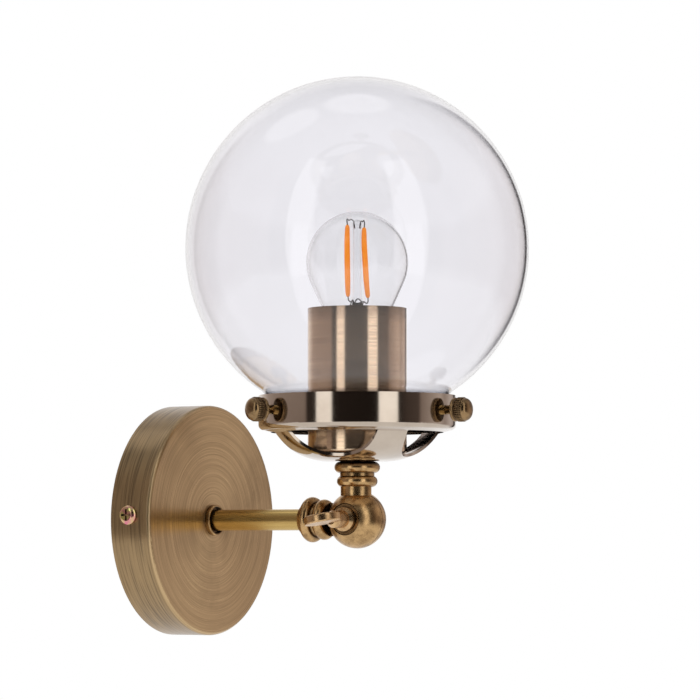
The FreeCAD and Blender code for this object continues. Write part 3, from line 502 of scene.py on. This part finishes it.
# Filaments and wires, as points (across the bulb, height[, depth]) and radii in millimetres.
FILAMENT_BEARING = math.radians(-60)
FILAMENT_PATHS = [
    [(-4, 97.2), (-4.05, 99), (-4.2, 105), (-4.35, 113), (-4.4, 121), (-4.3, 127), (-4.25, 128.6)],
    [(4.7, 96.6), (4.55, 98.3), (4, 104), (3.5, 112), (3.1, 120), (3, 125.8), (3.05, 127.4)],
]
FILAMENT_RADII = [0.5, 1.05, 1.22, 1.25, 1.22, 1.05, 0.5]
WIRE_PATHS = [
    [(-4.25, 128.4), (-4.5, 130.4), (-4.3, 131.2), (-3.6, 130.6), (-2.6, 131), (-1.2, 129.6), (-0.8, 127)],
    [(3.05, 127.2), (3.2, 129.4), (2.9, 130.5), (2.3, 129.9), (1.9, 130.3), (1.1, 129.2), (0.8, 127)],
    [(-4, 97.4), (-3.7, 95.6), (-2.6, 94.6), (-2.9, 93.6), (-1.6, 93.2), (-0.9, 92), (-0.8, 90)],
    [(4.7, 96.8), (4.75, 95), (4.1, 94.2), (2.9, 94.9), (2.2, 93.4), (1.2, 92.6), (0.8, 90)],
    [
        (-2.6, 94.6, 0.4), (-1.9, 95.7, 0.8), (-1.0, 94.4, 1.2), (-0.2, 95.8, 1.3), (0.7, 96.0, 1.0),
        (1.6, 95.0, 0.6), (2.9, 94.9, 0.2),
    ],
]
WIRE_RADIUS = 0.26


def in_bulb(across, height, depth=0.0):
    """A point in the bulb, by its place across from filament to filament, its height and its depth."""
    x = across * math.cos(FILAMENT_BEARING) + depth * math.sin(FILAMENT_BEARING)
    y = across * math.sin(FILAMENT_BEARING) - depth * math.cos(FILAMENT_BEARING)
    return Vector((x, y, height)) * MM + Vector((0, LAMP_Y, 0))


def make_filaments(amber, metal):
    """Two slightly bowed, tapered filaments and the thin wires that hold them to the glass stem."""
    rods = [([in_bulb(*point) for point in path], FILAMENT_RADII) for path in FILAMENT_PATHS]
    add_tubes("filament_pair", rods, amber, "bulb_filaments")
    wires = [([in_bulb(*point) for point in path], [WIRE_RADIUS] * len(path)) for path in WIRE_PATHS]
    add_tubes("filament_wires", wires, metal, "bulb_wires")


# Glass, in millimetres: necks, walls, and the flare between the globe's neck and its bowl.
GLOBE_NECK = 39.8
GLOBE_WALL = 1.5
GLOBE_FLARE = 4.0
BULB_NECK = 12.1
BULB_SKIRT = 3.0
BULB_WALL = 0.6
LIP_ROUND = 0.4
# The stem: its gap to the bulb's neck, its skirt, and then its outline as radius and height over its foot.
STEM_GAP = 0.15
STEM_SKIRT = 1.0
STEM_OUTLINE = [
    (6.6, 3.6), (3.8, 7.6), (2.3, 11.5), (1.9, 14.5), (1.75, 18), (1.75, 44), (1.85, 45.4), (1.95, 46.6),
    (1.8, 47.7), (1.2, 48.5), (0.5, 48.8), (0, 48.85),
]


def ball(node):
    """Radius, foot and centre height of a CAD node that ends in a ball at its top, in millimetres."""
    low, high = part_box(node)
    radius = (high[0] - low[0]) / 2 / MM
    return radius, low[2] / MM, high[2] / MM - radius


def globe_profile():
    """The globe's outline: up its outside, over the top and down its inside."""
    radius, foot, centre = ball("globe")
    inner = radius - GLOBE_WALL
    flare_across = GLOBE_NECK + GLOBE_FLARE
    flare_up = centre - math.sqrt((radius + GLOBE_FLARE) ** 2 - flare_across ** 2)
    turn = math.degrees(math.atan2(centre - flare_up, -flare_across))
    profile = [(GLOBE_NECK - LIP_ROUND, foot), (GLOBE_NECK, foot + LIP_ROUND)]
    profile += sweep(flare_across, flare_up, GLOBE_FLARE, 180, turn, steps=10)
    profile += sweep(0, centre, radius, turn - 180, 90, steps=150)[1:-1]
    profile += [(0, centre + radius), (0, centre + inner)]
    profile += sweep(0, centre, inner, 90, turn - 180, steps=150)[1:]
    profile += sweep(flare_across, flare_up, GLOBE_FLARE + GLOBE_WALL, turn, 180, steps=10)[1:]
    lip = GLOBE_NECK - GLOBE_WALL
    return profile + [(lip, foot + LIP_ROUND), (lip + LIP_ROUND, foot)]


def bulb_profile():
    """The bulb's outline, whose neck runs straight into its ball."""
    radius, foot, centre = ball("bulb_glass")
    skirt = foot + BULB_SKIRT
    inner = radius - BULB_WALL
    neck_length = centre - skirt
    bulge = math.asin(radius / math.hypot(BULB_NECK, neck_length)) - math.atan(BULB_NECK / neck_length)
    bulge = math.degrees(bulge)
    profile = [(BULB_NECK, foot), (BULB_NECK, skirt)]
    profile += sweep(0, centre, radius, -bulge, 90, steps=70)[:-1]
    profile += [(0, centre + radius), (0, centre + inner)]
    profile += sweep(0, centre, inner, 90, -bulge, steps=70)[1:]
    return profile + [(BULB_NECK - BULB_WALL, skirt), (BULB_NECK - BULB_WALL, foot)]


def stem_profile():
    """The outline of the glass stem that stands on the bulb's foot."""
    foot = ball("bulb_glass")[1]
    edge = BULB_NECK - BULB_WALL - STEM_GAP
    profile = [(0, foot), (edge, foot), (edge, foot + STEM_SKIRT)]
    return profile + [(across, foot + up) for across, up in STEM_OUTLINE]


def make_glass(globe_glass, bulb_glass, stem_glass):
    """Smooth glass for the globe and the bulb, as two-sided walls of their real thickness."""
    axis = Matrix.Translation((0, LAMP_Y, 0))
    mesh = lathe("globe_blown", globe_profile(), axis, segments=256, closed=True)
    globe = add_piece("globe_blown", mesh, globe_glass, "globe", "globe")
    mesh = lathe("bulb_blown", bulb_profile(), axis, segments=160, closed=True)
    bulb = add_piece("bulb_blown", mesh, bulb_glass, "bulb", "bulb_glass")
    mesh = lathe("stem_drawn", stem_profile(), axis, segments=64)
    stem = add_piece("stem_drawn", mesh, stem_glass, "bulb", "bulb_stem")
    for piece in (globe, bulb, stem):
        piece.visible_shadow = False


class Finish(Tree):
    """One material, with its shader and the coordinates of its object."""

    def __init__(self, name):
        self.material = bpy.data.materials.new(name)
        self.material.use_nodes = True
        super().__init__(self.material.node_tree)
        self.shader = self.nodes["Principled BSDF"]
        self.coordinates = self.add("ShaderNodeTexCoord").outputs["Object"]

    def scaled(self, scales):
        """Coordinates scaled by axis."""
        return self.vector("MULTIPLY", self.coordinates, scales)

    def from_point(self, point):
        """Coordinates counted from a point."""
        return self.vector("SUBTRACT", self.coordinates, tuple(point))

    def hollows(self, reach):
        """0 deep in a groove, 1 on an open surface."""
        node = self.add("ShaderNodeAmbientOcclusion", samples=8)
        node.inputs["Distance"].default_value = reach
        return node.outputs["AO"]

    def bump(self, height, distance, strength):
        node = self.add("ShaderNodeBump")
        node.inputs["Distance"].default_value = distance
        node.inputs["Strength"].default_value = strength
        self.feed(node.inputs["Height"], height)
        self.feed(self.shader.inputs["Normal"], node.outputs[0])

    def set(self, **values):
        """Feed the shader's sockets, with _ for a space in their names."""
        for key, value in values.items():
            self.feed(self.shader.inputs[key.replace("_", " ")], value)


# Colours of the finishes.
PLATE_LIGHT = (0.79, 0.56, 0.30)
PLATE_DARK = (0.40, 0.265, 0.13)
CUP_LIGHT = (0.92, 0.70, 0.48)
CUP_DARK = (0.62, 0.43, 0.29)
RING_COLOR = (0.59, 0.50, 0.41)
# Darker brass for the ring: its tarnish, and the painted shade in its hollows.
RING_TARNISH_AND_SHADE = (0.27, 0.19, 0.13)
AGED_LIGHT = (0.68, 0.435, 0.20)
AGED_DARK = (0.19, 0.108, 0.048)
# Painted shade for grooves and for the gaps between a knurl's teeth.
GROOVE_SHADE = (0.035, 0.018, 0.009)
KEY_LIGHT = (0.78, 0.515, 0.26)
KEY_DARK = (0.36, 0.205, 0.095)
SCREW_LIGHT = (0.38, 0.245, 0.12)
SCREW_DARK = (0.11, 0.067, 0.033)
SHANK_LIGHT = (0.68, 0.48, 0.20)
SHANK_DARK = (0.42, 0.28, 0.11)
# Painted shade for the backs of the thumbscrew heads.
BACK_SHADE_LIGHT = (0.10, 0.062, 0.03)
BACK_SHADE_DARK = (0.045, 0.028, 0.014)
TUBE_LIGHT = (0.68, 0.475, 0.175)
TUBE_DARK = (0.48, 0.31, 0.10)
AMBER = (0.88, 0.24, 0.012)
AMBER_LIGHT = (0.95, 0.32, 0.03)
# Painted light: the unlit filament shines in this colour at this level.
AMBER_PAINTED_GLOW = (1.0, 0.26, 0.004)
PAINTED_GLOW_LEVEL = 0.35
# Painted shade in the glass where it flares.
FLARE_SHADE_GREY = (0.30, 0.30, 0.33)
FLARE_HEIGHT = 0.0545
# How much of the floor's look is plain white.
WHITE_SHARE = 0.8


def tone(color, level):
    """A colour made lighter or darker."""
    return tuple(min(part * level, 1) for part in color)


def painted_shade_side(look, face, along, lines, dark):
    """The plate's side: painted darker than its face as painted shade, and streaked."""
    # Painted shade: the side and the edge's round are painted darker than the face.
    side = look.band(along, PLATE_FRONT + 0.0004, PLATE_FRONT + 0.0014, 0, 0.85)
    drawn = lines(1300, 30, detail=2, roughness=0.5)
    color = look.blend(look.band(drawn, 0.54, 0.38, 0, 0.75), tone(dark, 0.84), tone(dark, 0.2))
    cloud = look.noise(look.coordinates, 26, detail=3, roughness=0.55)
    color = look.blend(look.band(cloud, 0.45, 0.6, 0, 0.4), color, tone(dark, 1.05))
    return look.blend(side, face, color)


def painted_shade_mouth(look, body, along, centre, dark):
    """The cup's mouth, with an uneven edge painted darker as painted shade."""
    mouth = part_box("socket_cup")[1][2] - centre[2]
    cloud = look.noise(look.coordinates, 90, detail=4, roughness=0.6)
    height = look.math("ADD", along, look.math("MULTIPLY", cloud, 0.008))
    # Painted shade: darker towards the cup's mouth.
    return look.blend(look.band(height, mouth - 0.003, mouth + 0.004, 0, 0.75), body, tone(dark, 0.4))


def brushed_brass(name, centre, axis, light, dark, rough, grain=0.8, coat=0.35):
    """Antique brass with fine turned lines round an axis: across it on a face, along it on a side."""
    look = Finish(name)
    x, y, z = look.split(look.from_point(centre))
    along, first, second = (y, x, z) if axis == "Y" else (z, x, y)
    squares = look.math("ADD", look.math("MULTIPLY", first, first), look.math("MULTIPLY", second, second))
    run = look.math("ADD", look.math("SQRT", squares), along)

    def lines(across, around, detail, roughness):
        """Noise drawn out into turned lines, by its scale across and along them."""
        ends = look.math("MULTIPLY", first, around), look.math("MULTIPLY", second, around)
        return look.noise(look.join(look.math("MULTIPLY", run, across), *ends), 1, detail, roughness)

    fine = lines(4200, 14, detail=3, roughness=0.6)
    broad = lines(1500, 16, detail=4, roughness=0.62)
    streak = lines(2600, 45, detail=2, roughness=0.5)
    smudge = look.noise(look.coordinates, 24, detail=4, roughness=0.55, distortion=0.6)
    color = look.blend(look.band(broad, 0.25, 0.7, 1 - grain, 1), dark, light)
    color = look.blend(look.band(fine, 0.3, 0.7, 0, 0.3), color, dark)
    color = look.blend(look.band(smudge, 0.52, 0.68, 0, 0.55), color, tone(dark, 0.85))
    color = look.blend(look.band(streak, 0.58, 0.72, 0, 0.32), color, tone(light, 1.35))
    color = look.blend(look.band(streak, 0.42, 0.3, 0, 0.3), color, tone(dark, 0.55))
    # Painted shade: on the plate's side, and on the cup near its mouth.
    if axis == "Y":
        color = painted_shade_side(look, color, along, lines, dark)
    else:
        color = painted_shade_mouth(look, color, along, centre, dark)
    look.set(Base_Color=color, Metallic=1.0)
    look.set(Roughness=look.band(broad, 0.3, 0.7, rough * 1.18, rough * 0.86))
    look.set(Anisotropic=0.8, Anisotropic_Rotation=0.25, Coat_Weight=coat, Coat_Roughness=0.2)
    tangent = look.add("ShaderNodeTangent", direction_type="RADIAL", axis=axis)
    look.feed(look.shader.inputs["Tangent"], tangent.outputs[0])
    relief = look.math("ADD", fine, look.math("MULTIPLY", broad, 0.8))
    look.bump(relief, distance=0.000005 * grain, strength=0.7)
    return look.material


def polished_brass(name, color, tarnish_and_shade, rough):
    """Polished brass under lacquer, cloudy with tarnish in places, and with painted shade where it is hollow.
    """
    look = Finish(name)
    cloud = look.noise(look.coordinates, 55, detail=5, roughness=0.6)
    # Painted shade: hollows take the darker colour, which also serves as the tarnish in the cloud.
    hollow = look.band(look.hollows(0.003), 0.35, 0.8)
    lines = look.noise(look.scaled((40, 40, 2600)), 1, detail=2, roughness=0.5)
    tint = look.blend(look.band(cloud, 0.35, 0.8, 0, 0.35), color, tarnish_and_shade)
    tint = look.blend(hollow, tarnish_and_shade, tint)
    look.set(Base_Color=tint, Metallic=1.0)
    look.set(Roughness=look.band(cloud, 0.3, 0.75, rough * 0.85, rough * 1.5))
    look.set(Coat_Weight=0.6, Coat_Roughness=0.06)
    look.bump(lines, distance=0.000004, strength=0.35)
    return look.material


def aged_brass(name, light, dark, rough, reach, knurl=None):
    """Worn brass, mottled and specked, with painted shade in grooves within reach and between a knurl's
    teeth.
    """
    look = Finish(name)
    mottle = look.noise(look.coordinates, 190, detail=6, roughness=0.68, distortion=0.3)
    speck = look.noise(look.coordinates, 1300, detail=3, roughness=0.6)
    cloud = look.noise(look.coordinates, 60, detail=3, roughness=0.5)
    color = look.blend(look.band(mottle, 0.24, 0.58), dark, light)
    color = look.blend(look.band(speck, 0.55, 0.75, 0, 0.45), color, tone(dark, 0.55))
    color = look.blend(look.band(cloud, 0.3, 0.8, 0, 0.25), color, dark)
    # Painted shade in grooves, and between a knurl's teeth when knurl is given.
    color = look.blend(look.band(look.hollows(reach), 0.4, 0.88), GROOVE_SHADE, color)
    if knurl:
        color = look.blend(look.band(look.hollows(knurl), 0.66, 0.98), GROOVE_SHADE, color)
    look.set(Base_Color=color, Metallic=1.0)
    look.set(Roughness=look.band(mottle, 0.3, 0.7, rough * 1.25, rough * 0.85))
    relief = look.math("ADD", look.math("MULTIPLY", mottle, 0.6), look.math("MULTIPLY", speck, 0.4))
    look.bump(relief, distance=0.00006, strength=0.5)
    return look.material


def satin_brass(name, light, dark, rough):
    """Drawn tube, with faint lines along its length."""
    look = Finish(name)
    lines = look.noise(look.scaled((2200, 30, 2200)), 1, detail=3, roughness=0.6)
    cloud = look.noise(look.coordinates, 90, detail=3, roughness=0.5)
    color = look.blend(look.band(lines, 0.3, 0.7, 0, 0.5), light, dark)
    color = look.blend(look.band(cloud, 0.4, 0.8, 0, 0.3), color, dark)
    look.set(Base_Color=color, Metallic=1.0)
    look.set(Roughness=look.band(lines, 0.3, 0.7, rough * 0.85, rough * 1.2))
    look.bump(lines, distance=0.000008, strength=0.6)
    return look.material


def plated_metal(name, color, tint, rough, scale=220):
    """Plated steel or brass, with a cloudy tint, fine scratches and painted shade in hollows."""
    look = Finish(name)
    cloud = look.noise(look.coordinates, scale, detail=4, roughness=0.6)
    scratch = look.noise(look.scaled((300, 300, 3800)), 1, detail=3, roughness=0.6)
    mix = look.blend(look.band(cloud, 0.35, 0.7), color, tint)
    # Painted shade in hollows.
    mix = look.blend(look.band(look.hollows(0.0012), 0.25, 0.8), tone(color, 0.12), mix)
    look.set(Base_Color=mix, Metallic=1.0)
    look.set(Roughness=look.band(cloud, 0.3, 0.7, rough * 0.8, rough * 1.3))
    look.bump(scratch, distance=0.00001, strength=0.4)
    return look.material


def smooth_body(name, color, other, rough, scale=160, painted_glow=None):
    """Ceramic, plastic or the coated filament, slightly mottled and uneven, and, where asked, shining as
    painted light of that colour.
    """
    look = Finish(name)
    cloud = look.noise(look.coordinates, scale, detail=5, roughness=0.6)
    grain = look.noise(look.coordinates, scale * 14, detail=2, roughness=0.5)
    look.set(Base_Color=look.blend(look.band(cloud, 0.35, 0.7), color, other))
    look.set(Roughness=look.band(grain, 0.3, 0.7, rough * 0.85, rough * 1.2))
    look.bump(grain, distance=0.00002, strength=0.5)
    # Painted light: the filament shines though the bulb is unlit.
    if painted_glow:
        look.set(Emission_Color=painted_glow, Emission_Strength=PAINTED_GLOW_LEVEL)
    return look.material


def clear_glass(name, tint, ripple, bend=1.47, rim=None):
    """Clear glass with a faint ripple, and a grey band of painted shade at the height of rim, where the glass
    flares.
    """
    look = Finish(name)
    wave = look.noise(look.coordinates, 22, detail=2, roughness=0.4)
    haze = look.noise(look.coordinates, 420, detail=3, roughness=0.6)
    color = look.blend(look.band(wave, 0.3, 0.7), tint, tone(tint, 0.985))
    if rim:
        # Painted shade: a grey band about the rim height, for the thick flare seen against the dark gallery.
        height = look.split(look.coordinates)[2]
        rise = look.band(height, rim - 0.0012, rim - 0.0004)
        fall = look.band(height, rim, rim + 0.0016, 0.8, 0)
        color = look.blend(look.math("MULTIPLY", rise, fall), color, FLARE_SHADE_GREY)
    look.set(Base_Color=color, Transmission_Weight=1.0, IOR=bend)
    look.set(Roughness=look.band(haze, 0.5, 0.8, 0.0, 0.012))
    look.bump(wave, distance=ripple, strength=0.3)
    return look.material


def pale_floor(name):
    """A pale floor that is nearly white wherever it is seen, but for the object's shadow."""
    look = Finish(name)
    cloud = look.noise(look.coordinates, 3, detail=3, roughness=0.5)
    color = look.blend(look.band(cloud, 0.3, 0.7), (0.86, 0.86, 0.87), (0.83, 0.83, 0.84))
    look.set(Base_Color=color, Roughness=0.8)
    white = look.add("ShaderNodeEmission").outputs[0]
    path = look.add("ShaderNodeLightPath").outputs
    seen = look.math("MAXIMUM", path["Is Camera Ray"], path["Is Glossy Ray"])
    seen = look.math("MAXIMUM", seen, path["Is Transmission Ray"])
    shown = look.choose(look.math("MULTIPLY", seen, WHITE_SHARE), look.shader.outputs[0], white)
    look.feed(look.nodes["Material Output"].inputs["Surface"], shown)
    return look.material


def paint(node, material):
    """Give a CAD node one material."""
    for slot in nodes[node].material_slots:
        slot.material = material


def dress_lamp():
    """Paint every CAD node, add the finer pieces in the same finishes, and lay the floor."""
    cup_centre = middle("socket_cup")
    plate = brushed_brass("plate_brass", (0, 0, 0), "Y", PLATE_LIGHT, PLATE_DARK, 0.31)
    cup = brushed_brass("cup_brass", cup_centre, "Z", CUP_LIGHT, CUP_DARK, 0.2, grain=0.7, coat=0.08)
    ring = polished_brass("ring_brass", RING_COLOR, RING_TARNISH_AND_SHADE, 0.09)
    aged = aged_brass("aged_brass_finish", AGED_LIGHT, AGED_DARK, 0.25, reach=0.004)
    key = aged_brass("key_brass", KEY_LIGHT, KEY_DARK, 0.26, reach=0.0018)
    screws = aged_brass("thumbscrew_brass", SCREW_LIGHT, SCREW_DARK, 0.22, reach=0.0045, knurl=0.0007)
    shanks = satin_brass("shank_brass", SHANK_LIGHT, SHANK_DARK, 0.22)
    # Painted shade for the backs of the thumbscrew heads.
    back_shade = aged_brass("back_shade_brass", BACK_SHADE_LIGHT, BACK_SHADE_DARK, 0.36, reach=0.002)
    tube_metal = satin_brass("tube_brass", TUBE_LIGHT, TUBE_DARK, 0.27)
    steel = plated_metal("plated_steel_finish", (0.62, 0.63, 0.65), (0.46, 0.47, 0.49), 0.3)
    zinc = plated_metal("yellow_zinc_finish", (0.70, 0.72, 0.22), (0.80, 0.16, 0.36), 0.2, scale=300)
    spring = plated_metal("spring_brass_finish", (0.78, 0.60, 0.28), (0.62, 0.45, 0.2), 0.25)
    nickel = plated_metal("nickel_finish", (0.66, 0.63, 0.58), (0.52, 0.49, 0.45), 0.22)
    solder = plated_metal("solder_finish", (0.60, 0.60, 0.62), (0.42, 0.42, 0.45), 0.4, scale=600)
    wire = plated_metal("wire_finish", (0.34, 0.33, 0.33), (0.18, 0.17, 0.17), 0.3, scale=500)
    ceramic = smooth_body("holder_finish", (0.82, 0.80, 0.76), (0.74, 0.72, 0.67), 0.32)
    plastic = smooth_body("terminal_finish", (0.80, 0.80, 0.78), (0.72, 0.72, 0.70), 0.42)
    black = smooth_body("insulator_finish", (0.018, 0.018, 0.020), (0.035, 0.034, 0.034), 0.25)
    # Painted light: the filament shines though the bulb is unlit.
    amber = smooth_body("filament_finish", AMBER, AMBER_LIGHT, 0.35, scale=500, painted_glow=AMBER_PAINTED_GLOW)
    globe = clear_glass("globe_glass", (0.944, 0.938, 0.962), 0.00010, bend=1.42, rim=FLARE_HEIGHT)
    bulb = clear_glass("bulb_glass_finish", (0.992, 0.993, 0.994), 0.00004, bend=1.28)
    stem = clear_glass("stem_glass", (0.985, 0.985, 0.99), 0.00002)
    finishes = {
        plate: ["wall_plate"],
        cup: ["socket_cup"],
        ring: ["gallery"],
        aged: ["arm_half", "neck_half", "arm_ferrule", "key_washer"],
        key: ["thumb_key"],
        screws: ["thumbscrew_1", "thumbscrew_2", "thumbscrew_3"],
        tube_metal: ["arm_tube"],
        steel: [
            "wall_bracket", "arm_lock_washer", "arm_nut", "cup_spacer", "cup_washer", "nipple",
            "nipple_nut", "key_stud",
        ],
        zinc: ["side_screws", "earth_screw"],
        spring: ["centre_contact", "friction_washer", "terminal_screws"],
        nickel: ["screw_shell", "bulb_cap"],
        solder: ["bulb_contact"],
        wire: ["bulb_wires"],
        ceramic: ["lampholder"],
        plastic: ["terminal_block"],
        black: ["bulb_insulator"],
        amber: ["bulb_filaments"],
        globe: ["globe"],
        bulb: ["bulb_glass"],
        stem: ["bulb_stem"],
    }
    for material, names in finishes.items():
        for name in names:
            paint(name, material)
    make_glass(globe, bulb, stem)
    make_thumbscrews(screws, shanks, back_shade)
    make_filaments(amber, wire)
    make_floor(pale_floor("floor_paint"))


make_camera()
make_world()
make_lights()
dress_lamp()
bpy.context.scene.view_settings.view_transform = "Standard"
